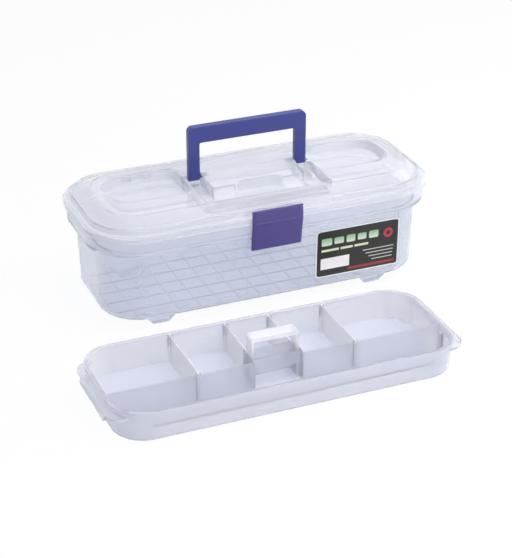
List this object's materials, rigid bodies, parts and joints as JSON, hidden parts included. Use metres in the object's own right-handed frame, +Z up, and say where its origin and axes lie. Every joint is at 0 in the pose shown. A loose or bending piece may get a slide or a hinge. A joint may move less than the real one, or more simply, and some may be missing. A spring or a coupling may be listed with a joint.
{
  "type": "portable tackle box with lift-out tray",
  "caption": "Clear plastic tackle box with hinged lid, folding carry handle, front latch and a lift-out tray with plug-in dividers.",
  "frame": {"origin": "centre of the bounding box at ground level, with the tray standing in front of the box", "axes": "+X along the box to the right, +Y from the front with the latch to the back with the hinge, +Z up"},
  "size_m": [0.4312, 0.3606, 0.184],
  "materials": {
    "clear_plastic": "clear, slightly milky",
    "milky_plastic": "milky",
    "blue_plastic": "smooth",
    "violet_plastic": "smooth"
  },
  "bodies": {
    "box": {"base_box": "clear_plastic"},
    "lid_body": {"lid": "clear_plastic"},
    "handle_body": {"carry_handle": "blue_plastic"},
    "latch_body": {"front_latch": "violet_plastic"},
    "tray_body": {"tray": "clear_plastic", "tray_grip": "milky_plastic"},
    "divider_body_1": {"tray_divider_1": "milky_plastic"},
    "divider_body_2": {"tray_divider_2": "milky_plastic"},
    "divider_body_3": {"tray_divider_3": "milky_plastic"},
    "divider_body_4": {"tray_divider_4": "milky_plastic"}
  },
  "joints": [
    {"name": "lid_hinge", "type": "hinge", "parent": "box", "child": "lid_body", "pos_m": [0.0256, 0.17608, 0.101], "axis": [-1, 0, 0], "range_deg": [0, 110]},
    {"name": "handle_swing", "type": "hinge", "parent": "lid_body", "child": "handle_body", "pos_m": [0.0256, 0.08958, 0.128], "axis": [1, 0, 0], "range_deg": [0, 90]},
    {"name": "latch_swing", "type": "hinge", "parent": "lid_body", "child": "latch_body", "pos_m": [0.0256, 0.01208, 0.1122], "axis": [-1, 0, 0], "range_deg": [0, 80]},
    {"name": "tray_lift", "type": "slide", "parent": "box", "child": "tray_body", "axis": [0, 0, 1], "range_m": [0, 0.15]},
    {"name": "divider_lift_1", "type": "slide", "parent": "tray_body", "child": "divider_body_1", "axis": [0, 0, 1], "range_m": [0, 0.04]},
    {"name": "divider_lift_2", "type": "slide", "parent": "tray_body", "child": "divider_body_2", "axis": [0, 0, 1], "range_m": [0, 0.04]},
    {"name": "divider_lift_3", "type": "slide", "parent": "tray_body", "child": "divider_body_3", "axis": [0, 0, 1], "range_m": [0, 0.04]},
    {"name": "divider_lift_4", "type": "slide", "parent": "tray_body", "child": "divider_body_4", "axis": [0, 0, 1], "range_m": [0, 0.04]}
  ]
}
